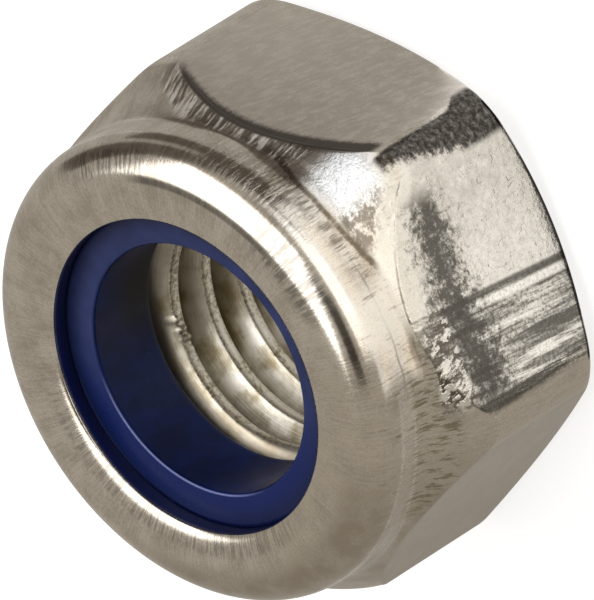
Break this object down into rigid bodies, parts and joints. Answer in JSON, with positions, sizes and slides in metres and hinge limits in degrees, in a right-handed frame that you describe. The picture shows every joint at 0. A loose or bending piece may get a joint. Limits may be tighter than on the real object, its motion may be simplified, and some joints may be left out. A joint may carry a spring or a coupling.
{
  "type": "nylon insert lock nut",
  "caption": "Hexagon lock nut with a rolled round collar that holds a nylon ring, which grips the thread of the bolt so that the nut stays put under vibration.",
  "frame": {"origin": "centre of the flat bearing face, on the thread's axis, at the bottom", "axes": "+Z along the thread's axis, from the bearing face up to the collar; +X square to one flat of the hexagon"},
  "size_m": [0.013, 0.0146, 0.008],
  "materials": {
    "stainless_steel": "cold formed stainless steel, dull on the flats, brighter and finely streaked on the rolled collar",
    "blue_nylon": "smooth moulded nylon with a soft sheen"
  },
  "bodies": {
    "root": {"nut_body": "stainless_steel", "nylon_insert": "blue_nylon"}
  },
  "joints": []
}
